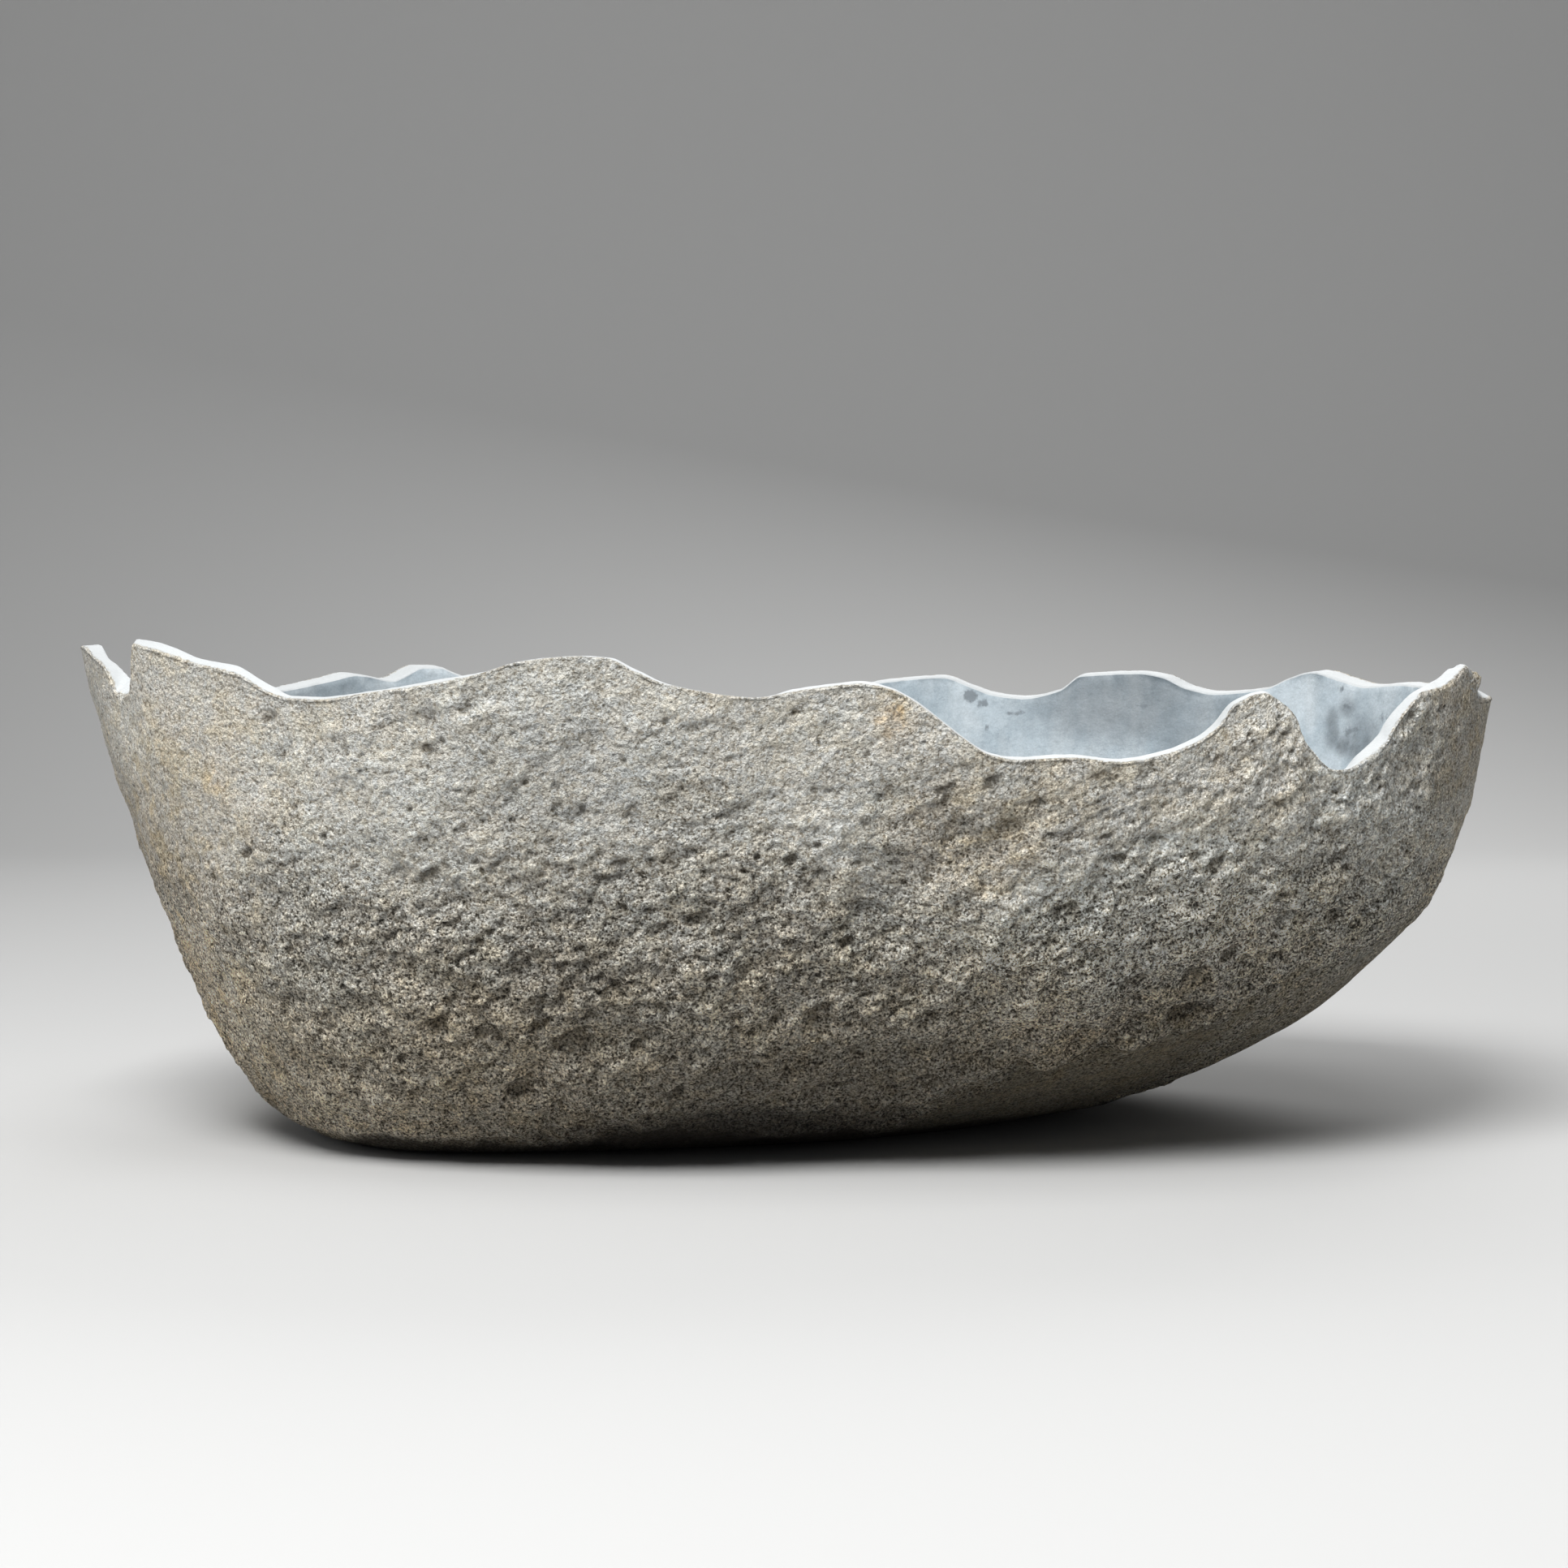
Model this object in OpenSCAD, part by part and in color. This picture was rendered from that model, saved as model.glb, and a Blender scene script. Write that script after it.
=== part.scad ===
// Bowl planter hollowed out of one river boulder.
// The boulder is sawn flat underneath, ground smooth inside, and its thin rim is cut in waves.
// Frame: origin at the middle of the overall length and depth, at the level of the foot.
// +X is to the right, +Y is to the back, +Z is up.

/* [Bowl] */
// Overall length
bowl_l = 540; // [460:5:620]
// Overall depth
bowl_w = 384; // [320:4:450]
// Height of the highest peak of the rim
bowl_h = 188; // [165:1:215]

/* [Foot] */
// Length of the flat foot
foot_l = 300; // [260:5:340]
// Depth of the flat foot
foot_w = 162; // [140:2:200]
// How far the middle of the foot lies left of the middle of the bowl
foot_shift = 34; // [20:2:50]
// How far the foot is turned against the rim, in degrees
foot_turn = 22; // [0:1:26]
// Rounding where the foot meets the sides
foot_round = 10; // [4:0.5:12]

/* [Rim] */
// Height from the deepest dip of the rim to its highest peak
rim_wave = 46; // [20:1:52]
// Thickness of the wall at the rim
rim_t = 8; // [6:0.5:14]

/* [Hollow] */
// Thickness of the wall where it turns into the floor
heel_t = 27; // [20:1:36]
// Thickness of the floor at the drain hole
floor_t = 26; // [18:1:36]
// Height at which the wall of the hollow starts to turn into its floor
heel_h = 78; // [64:2:96]
// Diameter of the drain hole
drain_d = 25; // [12:1:40]

/* [Stone] */
// Height of the broad swells of the boulder
swell = 3.5; // [0:0.5:5]
// Height of the smaller knocks on the boulder
knock = 2.2; // [0:0.2:3]
// How far the smooth keel at the lower right lies behind the rough skin above it
keel_step = 2; // [0:0.25:3]
// Which boulder it is: each number gives other swells and knocks
boulder = 7; // [1:1:50]

/* [Hidden] */

// Level of the highest ring that runs straight round, and how far it lies under the deepest dip
belt_gap = 8;
belt = bowl_h - rim_wave - belt_gap;
// Degrees between two columns of the mesh, at most
column_step = 3.4;
low_rows = 18; // rings from the foot's rounding to the belt
high_rows = 4; // rings from the belt to the rim
wall_rows = 3; // rings from the belt down to the heel, inside
floor_rows = 7; // rings from the heel to the middle of the floor
foot_shares = [0, 0.12, 0.45]; // levels of the rings in the foot's rounding
drain_sides = 72;
drill_under = 1; // how far the drill starts under the foot
drill_over = 20; // how far it ends above the floor

// How the four sides of the boulder rise from the foot: the share of bowl_h at which the side is
// widest, then the two exponents of its curve. The right side is a long keel, the left is steep.
RIGHT = [1.14, 3.0, 1.33];
BACK = [0.9, 2.0, 1.5];
LEFT = [1.0, 1.3, 1.6];
FRONT = [0.85, 2.5, 1.37];
squareness = 2.3; // exponent of the level sections: 2 is an ellipse
floor_squareness = 2.5; // the same for the curve from the heel to the floor
turn_top = 0.8; // share of bowl_h at which the foot's turn has faded out
turn_fade = 1.5; // exponent of that fading: higher is faster near the foot

// The rim, all round from the right end by way of the back. Each point has the angle of the outer
// arris and its drop below bowl_h as a percentage of rim_wave, then where the inner arris stands
// against it: how many degrees further round and how many mm higher. The two differ because the
// cut runs square to a leaning wall, and more so where the stone broke away at both ends.
RIM_BACK = [
    [0, 44, 0, 0.5], [9.5, 41, 0, -0.5], [17.8, 37.5, 0, -1], [24.5, 40, 0, -1], [29.6, 34, 0, -1],
    [34, 27.5, 0, -1], [37.6, 33.5, 0, -1], [41, 43, 0, -1], [48, 48, 0, -1], [51.5, 43, 0, -1],
    [54.5, 32.5, 0, -1], [57.4, 29, 0, -1], [63.6, 31.5, 0, -1], [66.1, 46, 0, -1],
    [70, 53.5, 0, -1], [73, 50, 0, -1], [75, 43, 0, -1], [77.8, 33.5, 0, -1], [83, 38, 0, -1],
    [91, 58, 0, -1], [100, 70, 0, -1], [108.8, 63, 0, -1], [116, 44, 0, -1], [119.5, 36, 0, -1],
    [121.4, 29.5, 0, -1], [123.2, 23.5, 0, -1], [125, 23.5, 0, -1], [127.6, 32.5, 0, -1],
    [129, 36, 0, -1], [133.6, 30.3, 0, -1], [137, 35, 0, -1], [142.4, 42, 0, -1], [148, 47, 0, -1],
];
RIM_LEFT = [
    [155, 49, 0, -1], [164, 47, 0, -0.5], [172, 44, 0, 0], [178.5, 36, 0, 0.5],
    [182.5, 27, 0, 0.5], [185.5, 19, 0, 0.5], [188.5, 5.5, -1, 0.5], [194.5, 6, -2.5, 0.5],
    [198.6, 13, -3, -1.5], [201.6, 20, -2.5, -1], [203.1, 31, -2, 2], [203.7, 44, -0.6, 6],
    [207.1, 45, -2.6, 5], [209.2, 31, -3.7, 1], [210.3, 13, -4.1, 2],
];
RIM_FRONT = [
    [211, 4.3, -4.6, 2], [214.3, 8, -3.3, 3], [216.9, 13, -2.4, 3.5], [220.6, 20, -1.2, 2.5],
    [225.5, 27, -0.7, 3], [229.2, 41, -0.5, 3], [231.6, 45, -0.5, 1], [234.8, 45.5, -0.7, 1],
    [240.6, 40, -0.4, 1], [246.3, 33.5, -0.7, 1.5], [250.3, 25.5, -0.2, 1], [253.2, 17, 0, 0.5],
    [257.6, 13, 0, 0.2], [259.2, 14, 0, 0], [261, 23, 0, -0.1], [263.1, 33, 0, -0.3],
    [268.4, 42.5, 0, -0.1], [270.6, 37, 0, 1], [273.3, 33, 0, 1], [275.2, 38, 0, 1],
    [276.7, 49, 0.5, 0.5], [279.3, 72, 0.5, 0.5], [281, 84, 0.7, 0.4], [283.1, 88.5, 0.6, 1],
    [287.3, 87, 0.4, 1], [290.7, 90.5, 1, 1], [294.6, 85, 1, 1], [297.3, 77, 1, 1],
    [299.3, 66, 0.9, 1], [300.9, 48.5, 1.3, 1], [303.5, 41, 1.8, 1], [305.8, 49, 1.3, 0],
    [307.3, 60, 1.3, 0], [307.8, 70, 1.4, 0], [309.2, 83, 1.5, 0], [311.7, 99, 2.2, -0.5],
];
RIM_RIGHT = [
    [313.1, 99, 2.3, -0.5], [315.4, 92.5, 1.9, 1.5], [319.1, 79, 1.5, 3], [320.2, 68, 1.3, 2],
    [323.3, 47.5, 1.9, 1.5], [324.5, 41, 2.9, 1], [328, 39, 2.7, 3], [331.2, 32, 2.6, 3],
    [334.4, 22, 2.2, -0.5], [335.9, 48, 2.4, 13], [338, 50, 3, 11], [341, 50, 3.6, 8],
    [345, 48, 3, 4.5], [351, 46, 0, 2],
];
RIM = concat(RIM_BACK, RIM_LEFT, RIM_FRONT, RIM_RIGHT);

// ---- curves ----

function wrapped(i) = i < 0 ? RIM[i + len(RIM)] - [360, 0, 0, 0]
    : i >= len(RIM) ? RIM[i - len(RIM)] + [360, 0, 0, 0] : RIM[i];

// Slope of the rim curve at point i, with no overshoot: level at every peak and dip
function slope(i, key) =
    let (a = wrapped(i - 1), b = wrapped(i), c = wrapped(i + 1),
         before = (b[key] - a[key]) / (b[0] - a[0]), after = (c[key] - b[key]) / (c[0] - b[0]))
    before * after <= 0 ? 0 : 2 * before * after / (before + after);

// Value of the rim curve between points i and i + 1, at share t of the way
function between(i, key, t) =
    let (a = wrapped(i), b = wrapped(i + 1), w = b[0] - a[0])
    (1 + 2 * t) * pow(1 - t, 2) * a[key] + t * pow(1 - t, 2) * w * slope(i, key)
    + t * t * (3 - 2 * t) * b[key] - t * t * (1 - t) * w * slope(i + 1, key);

// Ledge above the smooth keel: angle, height in % of bowl_h, share of keel_step
LEDGE = [
    [268, 11, 0], [275, 14, 0.4], [283.7, 18, 1], [290.6, 21, 1], [298.8, 25, 1], [302.2, 32.5, 1],
    [305.1, 40, 1], [310.2, 41.5, 1], [316.8, 42, 1], [328.5, 44.5, 1], [346, 45, 0],
];
LEDGE_HEIGHT = [for (point = LEDGE) [point[0], point[1]]];
LEDGE_SHARE = [for (point = LEDGE) [point[0], point[2]]];
ledge_run = 7; // height over which the skin falls back under the ledge

// Single forms of this boulder: angle, height and half height in % of bowl_h with the half width in
// degrees between them, then how far the skin stands out. First the left end and the near left
// corner of the foot, then the dents of the front and the swells of the keel.
FORMS = [
    [188, 100, 14, 24, 3.6], [196, 37, 24, 21, -2], [212, 0, 24, 21, 4],
    [237, 16, 7, 8, -2], [246, 27, 7, 9.5, -2.6], [253, 27, 5, 7, -2], [299, 31, 6, 7.5, -2.4],
    [300, 10, 26, 13, 1.6], [338, 44, 22, 14, 2.2],
];

// Columns of the mesh: [angle, height of the outer arris, height of the inner arris, its lead]
COLUMNS = [
    for (i = [0 : len(RIM) - 1])
        let (a = wrapped(i)[0], b = wrapped(i + 1)[0], n = ceil((b - a) / column_step))
        for (k = [0 : n - 1])
            let (outer = bowl_h - rim_wave * between(i, 1, k / n) / 100)
            [a + (b - a) * k / n, outer, outer + between(i, 3, k / n), between(i, 2, k / n)]
];

// Pseudo-random number from 0 to 1 for a cell of the noise; any large uneven numbers will do
HASH = [127.1, 311.7, 74.7, 19.3];
hash_scale = 43758.5453;
function hash(i, j, k) =
    let (h = sin(HASH * [i, j, k, boulder]) * hash_scale) h - floor(h);
function ease(t) = t * t * (3 - 2 * t);
function mix(a, b, t) = a + (b - a) * t;
function share_of(a, b, z) = ease(min(1, max(0, (z - a) / (b - a))));

// Smooth noise from -1 to 1, with one random value at each whole coordinate
function noise(x, y, z) =
    let (i = floor(x), j = floor(y), k = floor(z), u = ease(x - i), v = ease(y - j), w = ease(z - k))
    2 * mix(mix(mix(hash(i, j, k), hash(i + 1, j, k), u),
                mix(hash(i, j + 1, k), hash(i + 1, j + 1, k), u), v),
            mix(mix(hash(i, j, k + 1), hash(i + 1, j, k + 1), u),
                mix(hash(i, j + 1, k + 1), hash(i + 1, j + 1, k + 1), u), v), w) - 1;

swell_size = 95; // distance between two broad swells
knock_size = 30; // distance between two smaller knocks
knock_shift = 40; // moves the knocks' noise away from that of the swells

function forms(u, z) =
    [for (f = FORMS)
        let (far = min(1, norm([(u - f[0]) / f[2], (100 * z / bowl_h - f[1]) / f[3]])))
        f[4] * (1 - ease(far))] * [for (f = FORMS) 1];

function keel(u, z) =
    let (ledge = lookup(u, LEDGE_HEIGHT) * bowl_h / 100)
    lookup(u, LEDGE_SHARE) * (1 - share_of(ledge - ledge_run, ledge, z));

function relief(p, u) =
    swell * noise(p[0] / swell_size, p[1] / swell_size, p[2] / swell_size)
    + knock * noise(p[0] / knock_size, p[1] / knock_size, p[2] / knock_size + knock_shift)
    + forms(u, p[2]) - keel_step * keel(u, p[2]);

// ---- level sections ----

// How far one side stands from the middle line at height z
function reach(foot, rim, side, z) =
    let (rise = max(0, 1 - z / (side[0] * bowl_h)))
    foot + (rim - foot) * pow(1 - pow(rise, side[1]), 1 / side[2]);

function foot_inset(z) =
    z >= foot_round ? 0 : foot_round - sqrt(foot_round * foot_round - pow(foot_round - z, 2));

// Point at angle u of the section at height z, drawn in by inset and by the share shrink
function section(u, z, inset, shrink) =
    let (right = reach(foot_l / 2 - foot_shift, bowl_l / 2, RIGHT, z),
         left = reach(foot_l / 2 + foot_shift, bowl_l / 2, LEFT, z),
         back = reach(foot_w / 2, bowl_w / 2, BACK, z),
         front = reach(foot_w / 2, bowl_w / 2, FRONT, z),
         x = ((right + left) / 2 - inset) * shrink * sign(cos(u)) * pow(abs(cos(u)), 2 / squareness),
         y = ((back + front) / 2 - inset) * shrink * sign(sin(u)) * pow(abs(sin(u)), 2 / squareness),
         turn = foot_turn * pow(max(0, 1 - z / (turn_top * bowl_h)), turn_fade))
    [(right - left) / 2 + x * cos(turn) - y * sin(turn),
     (back - front) / 2 + x * sin(turn) + y * cos(turn), z];

function pushed(p, push) =
    let (grow = 1 + push / norm([p[0], p[1]])) [p[0] * grow, p[1] * grow, p[2]];

function outside(u, z) = let (p = section(u, z, foot_inset(z), 1)) pushed(p, relief(p, u));

// Inside, the wall thins from heel_t at the heel to rim_t at the belt, and from there up it follows
// the single forms as well. Below the heel it closes in to the floor: dip runs from 0 at the heel
// to 90 degrees in the middle of the floor.
function inside(u, z) =
    let (share = share_of(heel_h, belt, z))
    pushed(section(u, z, mix(heel_t, rim_t, share), 1), share * forms(u, z));
function hollow(u, dip) =
    section(u, heel_h - (heel_h - floor_t) * pow(sin(dip), 2 / floor_squareness), heel_t,
            pow(cos(dip), 2 / floor_squareness));
drain = section(0, floor_t, heel_t, 0);

// ---- mesh of the stone: rings of points from the foot, over the rim, to the floor ----

foot_levels = foot_round * foot_shares;
ring_levels = [for (r = [0 : low_rows]) foot_round + (belt - foot_round) * r / low_rows];
rings = concat(
    [for (z = concat(foot_levels, ring_levels)) [for (c = COLUMNS) outside(c[0], z)]],
    [for (r = [1 : high_rows]) [for (c = COLUMNS) outside(c[0], mix(belt, c[1], r / high_rows))]],
    [for (r = [high_rows : -1 : 1]) let (share = r / high_rows)
        [for (c = COLUMNS) inside(c[0] + c[3] * share, mix(belt, c[2], share))]],
    [for (r = [0 : wall_rows - 1])
        [for (c = COLUMNS) inside(c[0], mix(belt, heel_h, r / wall_rows))]],
    [for (r = [0 : floor_rows - 1]) [for (c = COLUMNS) hollow(c[0], 90 * r / floor_rows)]]
);

// The middle of the overall length and depth, which becomes the origin
xs = [for (ring = rings) for (p = ring) p[0]];
ys = [for (ring = rings) for (p = ring) p[1]];
middle = [(min(xs) + max(xs)) / 2, (min(ys) + max(ys)) / 2];

module stone() {
    n = len(COLUMNS);
    last = (len(rings) - 1) * n;
    points = concat([for (ring = rings) each ring],
                    [section(0, 0, 0, 0), section(0, floor_t, 0, 0)]);
    sides = [
        for (r = [0 : len(rings) - 2]) for (c = [0 : n - 1])
            let (a = r * n + c, b = r * n + (c + 1) % n)
            each [[a, a + n, b + n], [a, b + n, b]]
    ];
    foot = [for (c = [0 : n - 1]) [len(points) - 2, c, (c + 1) % n]];
    floor = [for (c = [0 : n - 1]) [len(points) - 1, last + (c + 1) % n, last + c]];
    polyhedron(points, concat(sides, foot, floor), convexity = 6);
}

module bowl() {
    color("#8f8c80")
    translate([-middle[0], -middle[1], 0])
    difference() {
        stone();
        translate([drain[0], drain[1], -drill_under])
            cylinder(d = drain_d, h = drill_under + floor_t + drill_over, $fn = drain_sides);
    }
}

bowl();
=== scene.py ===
"""Looks of the bowl planter hollowed out of one river boulder.

The stone is rebuilt as one fine closed grid from the same curves as the CAD source, with the rough skin,
pits, scars and chipped arris that the CAD leaves out. Lengths are in millimetres until the mesh is made,
and in metres for the camera, the material, the stage and the lamps. Angles are in degrees, from +X
towards +Y.
"""

import math

import bpy
import numpy as np
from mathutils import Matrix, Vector


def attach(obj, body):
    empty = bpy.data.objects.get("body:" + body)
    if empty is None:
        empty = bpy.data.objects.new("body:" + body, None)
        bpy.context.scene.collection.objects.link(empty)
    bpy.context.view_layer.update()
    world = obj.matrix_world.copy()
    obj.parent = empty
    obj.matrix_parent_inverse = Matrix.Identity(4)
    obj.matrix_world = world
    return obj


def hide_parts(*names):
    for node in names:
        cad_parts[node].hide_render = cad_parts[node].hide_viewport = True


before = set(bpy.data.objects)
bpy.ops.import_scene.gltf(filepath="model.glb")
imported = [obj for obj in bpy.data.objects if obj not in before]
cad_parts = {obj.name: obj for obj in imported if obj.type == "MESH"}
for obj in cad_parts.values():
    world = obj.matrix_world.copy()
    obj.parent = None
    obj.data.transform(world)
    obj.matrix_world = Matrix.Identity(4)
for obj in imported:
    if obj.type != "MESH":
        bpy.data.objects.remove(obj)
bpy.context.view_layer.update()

# ---- camera, first, at the photograph's viewing angle ----

# In pixels of the photograph: its width, the focal length, and how high the horizon is over its middle
PHOTO_WIDTH, FOCAL_LENGTH, HORIZON = 1932, 4025, 172
SENSOR_WIDTH = 36  # mm
CAMERA_AT = (-0.00098, -1.27885, 0.186)
CAMERA_DOWN = math.degrees(math.atan2(HORIZON, FOCAL_LENGTH))

lens = bpy.data.cameras.new("camera")
lens.lens, lens.sensor_width = FOCAL_LENGTH / PHOTO_WIDTH * SENSOR_WIDTH, SENSOR_WIDTH
lens.clip_start, lens.clip_end = 0.05, 60
camera = bpy.data.objects.new("camera", lens)
camera.location = CAMERA_AT
camera.rotation_euler = (math.radians(90 - CAMERA_DOWN), 0, 0)
bpy.context.scene.collection.objects.link(camera)
bpy.context.scene.camera = camera

# ---- sizes, named as in the CAD source ----

BOWL_L, BOWL_W, BOWL_H = 540.0, 384.0, 188.0
FOOT_L, FOOT_W, FOOT_SHIFT, FOOT_TURN, FOOT_ROUND = 300.0, 162.0, 34.0, 22.0, 10.0
RIM_WAVE, RIM_T = 46.0, 8.0
HEEL_T, FLOOR_T, HEEL_H, DRAIN_D = 27.0, 26.0, 78.0, 25.0
SWELL, KNOCK, KEEL_STEP, BOULDER = 3.5, 2.2, 2.0, 7
SWELL_SIZE, KNOCK_SIZE, KNOCK_SHIFT = 95, 30, 40
BELT_GAP = 8
BELT = BOWL_H - RIM_WAVE - BELT_GAP
# Share of BOWL_H at which each side is widest, then the two exponents of its curve
RIGHT, BACK, LEFT, FRONT = (1.14, 3.0, 1.33), (0.9, 2.0, 1.5), (1.0, 1.3, 1.6), (0.85, 2.5, 1.37)
SQUARENESS, FLOOR_SQUARENESS, TURN_TOP, TURN_FADE = 2.3, 2.5, 0.8, 1.5
MIDDLE = np.array([-1.63484, -1.13941, 0.0])  # of the solid's box, where these sizes put it

# Rim points: angle, drop below BOWL_H in % of RIM_WAVE, then the inner arris against the outer one:
# how many degrees further round, how many mm higher
RIM = np.array([
    [0, 44, 0, 0.5], [9.5, 41, 0, -0.5], [17.8, 37.5, 0, -1], [24.5, 40, 0, -1], [29.6, 34, 0, -1],
    [34, 27.5, 0, -1], [37.6, 33.5, 0, -1], [41, 43, 0, -1], [48, 48, 0, -1], [51.5, 43, 0, -1],
    [54.5, 32.5, 0, -1], [57.4, 29, 0, -1], [63.6, 31.5, 0, -1], [66.1, 46, 0, -1],
    [70, 53.5, 0, -1], [73, 50, 0, -1], [75, 43, 0, -1], [77.8, 33.5, 0, -1], [83, 38, 0, -1],
    [91, 58, 0, -1], [100, 70, 0, -1], [108.8, 63, 0, -1], [116, 44, 0, -1], [119.5, 36, 0, -1],
    [121.4, 29.5, 0, -1], [123.2, 23.5, 0, -1], [125, 23.5, 0, -1], [127.6, 32.5, 0, -1],
    [129, 36, 0, -1], [133.6, 30.3, 0, -1], [137, 35, 0, -1], [142.4, 42, 0, -1], [148, 47, 0, -1],
    [155, 49, 0, -1], [164, 47, 0, -0.5], [172, 44, 0, 0], [178.5, 36, 0, 0.5],
    [182.5, 27, 0, 0.5], [185.5, 19, 0, 0.5], [188.5, 5.5, -1, 0.5], [194.5, 6, -2.5, 0.5],
    [198.6, 13, -3, -1.5], [201.6, 20, -2.5, -1], [203.1, 31, -2, 2], [203.7, 44, -0.6, 6],
    [207.1, 45, -2.6, 5], [209.2, 31, -3.7, 1], [210.3, 13, -4.1, 2],
    [211, 4.3, -4.6, 2], [214.3, 8, -3.3, 3], [216.9, 13, -2.4, 3.5], [220.6, 20, -1.2, 2.5],
    [225.5, 27, -0.7, 3], [229.2, 41, -0.5, 3], [231.6, 45, -0.5, 1], [234.8, 45.5, -0.7, 1],
    [240.6, 40, -0.4, 1], [246.3, 33.5, -0.7, 1.5], [250.3, 25.5, -0.2, 1], [253.2, 17, 0, 0.5],
    [257.6, 13, 0, 0.2], [259.2, 14, 0, 0], [261, 23, 0, -0.1], [263.1, 33, 0, -0.3],
    [268.4, 42.5, 0, -0.1], [270.6, 37, 0, 1], [273.3, 33, 0, 1], [275.2, 38, 0, 1],
    [276.7, 49, 0.5, 0.5], [279.3, 72, 0.5, 0.5], [281, 84, 0.7, 0.4], [283.1, 88.5, 0.6, 1],
    [287.3, 87, 0.4, 1], [290.7, 90.5, 1, 1], [294.6, 85, 1, 1], [297.3, 77, 1, 1],
    [299.3, 66, 0.9, 1], [300.9, 48.5, 1.3, 1], [303.5, 41, 1.8, 1], [305.8, 49, 1.3, 0],
    [307.3, 60, 1.3, 0], [307.8, 70, 1.4, 0], [309.2, 83, 1.5, 0], [311.7, 99, 2.2, -0.5],
    [313.1, 99, 2.3, -0.5], [315.4, 92.5, 1.9, 1.5], [319.1, 79, 1.5, 3], [320.2, 68, 1.3, 2],
    [323.3, 47.5, 1.9, 1.5], [324.5, 41, 2.9, 1], [328, 39, 2.7, 3], [331.2, 32, 2.6, 3],
    [334.4, 22, 2.2, -0.5], [335.9, 48, 2.4, 13], [338, 50, 3, 11], [341, 50, 3.6, 8],
    [345, 48, 3, 4.5], [351, 46, 0, 2],
])

# Ledge above the smooth keel: angle, height in % of BOWL_H, share of KEEL_STEP
LEDGE = np.array([
    [268, 11, 0], [275, 14, 0.4], [283.7, 18, 1], [290.6, 21, 1], [298.8, 25, 1], [302.2, 32.5, 1],
    [305.1, 40, 1], [310.2, 41.5, 1], [316.8, 42, 1], [328.5, 44.5, 1], [346, 45, 0],
])
LEDGE_RUN = 7.0  # mm below the ledge in which the skin falls back

# Single forms: angle, height (%), half width (degrees), half height (%), and how far the skin stands out
FORMS = [
    (188, 100, 14, 24, 3.6), (196, 37, 24, 21, -2), (212, 0, 24, 21, 4),
    (237, 16, 7, 8, -2), (246, 27, 7, 9.5, -2.6), (253, 27, 5, 7, -2), (299, 31, 6, 7.5, -2.4),
    (300, 10, 26, 13, 1.6), (338, 44, 22, 14, 2.2),
]

# ---- noise ----

SEED_SHIFT, CELL_SEED_SHIFT = 0.37, 0.61  # how far one seed moves a pattern, in its own features
NOISE_GAIN = 1.6
PART_MAX = 1023  # largest of the three numbers that a random number is split into


def ease(t):
    return t * t * (3 - 2 * t)


def mix(a, b, t):
    return a + (b - a) * t


def step(low, high, x):
    return ease(np.clip((x - low) / (high - low), 0, 1))


def window(rise, fall, x, top=1):
    """top between two slopes: it comes up from 0 over the pair rise, and goes down over the pair fall."""
    return top * step(*rise, x) * (1 - step(*fall, x))


def cad_hash(i, j, k):
    """The CAD source's random value at whole coordinates, from 0 to 1."""
    h = np.sin(np.radians(127.1 * i + 311.7 * j + 74.7 * k + 19.3 * BOULDER)) * 43758.5453
    return h - np.floor(h)


def cad_noise(p):
    """The CAD source's noise at points p, from -1 to 1."""
    x, y, z = np.moveaxis(p, -1, 0)
    i, j, k = np.floor(x), np.floor(y), np.floor(z)
    u, v, w = ease(x - i), ease(y - j), ease(z - k)
    value = 0
    for a, b, c in np.ndindex(2, 2, 2):
        share = (u if a else 1 - u) * (v if b else 1 - v) * (w if c else 1 - w)
        value = value + share * cad_hash(i + a, j + b, k + c)
    return 2 * value - 1


def scramble(i, j, k, seed):
    """A random whole number below 2**32 for each cell of a lattice."""
    h = (i * 73856093) ^ (j * 19349663) ^ (k * 83492791) ^ (seed * 668265263)
    h &= 0xFFFFFFFF
    for shift, factor in ((15, 2246822519), (13, 3266489917)):
        h = ((h ^ (h >> shift)) * factor) & 0xFFFFFFFF
    return h ^ (h >> 16)


def parts(h):
    """Three whole numbers from 0 to PART_MAX out of each random number."""
    return [h >> (10 * n) & PART_MAX for n in range(3)]


def noise(p, size, seed):
    """Gradient noise at points p, about -1 to 1, with features about size apart."""
    q = p / size + SEED_SHIFT * seed
    cell = np.floor(q).astype(np.int64)
    f = q - cell
    s = f * f * f * (f * (f * 6 - 15) + 10)
    value = 0
    for corner in np.ndindex(2, 2, 2):
        slopes = parts(scramble(*(cell + corner).T, seed))
        offset = f - corner
        dot = sum((slope / (PART_MAX / 2) - 1) * offset[:, n] for n, slope in enumerate(slopes))
        value = value + np.prod(np.where(corner, s, 1 - s), axis=1) * dot
    return NOISE_GAIN * value


def layers(p, size, seed, count=3, fade=0.5):
    """Sum of count noises, each half the size of the one before it and fade times as strong."""
    return sum(fade ** n * noise(p, size / 2 ** n, seed + 11 * n) for n in range(count))


def cells(p, size, seed):
    """For each point, in sizes: distance to the nearest random spot and rise above it.

    The third value is that spot's own random number, from 0 to 1.
    """
    q = p / size + CELL_SEED_SHIFT * seed
    cell = np.floor(q).astype(np.int64)
    best, mark, rise = np.full(len(p), 9.0), np.zeros(len(p)), np.zeros(len(p))
    for near in np.ndindex(3, 3, 3):
        at = cell + near - 1
        spot = at + np.stack(parts(scramble(*at.T, seed)), 1) / PART_MAX
        far = np.sqrt(((q - spot) ** 2).sum(1))
        closer = far < best
        best = np.where(closer, far, best)
        rise = np.where(closer, (q - spot)[:, 2], rise)
        mark = np.where(closer, scramble(*at.T, seed + 5) / 2 ** 32, mark)
    return best, mark, rise


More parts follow.
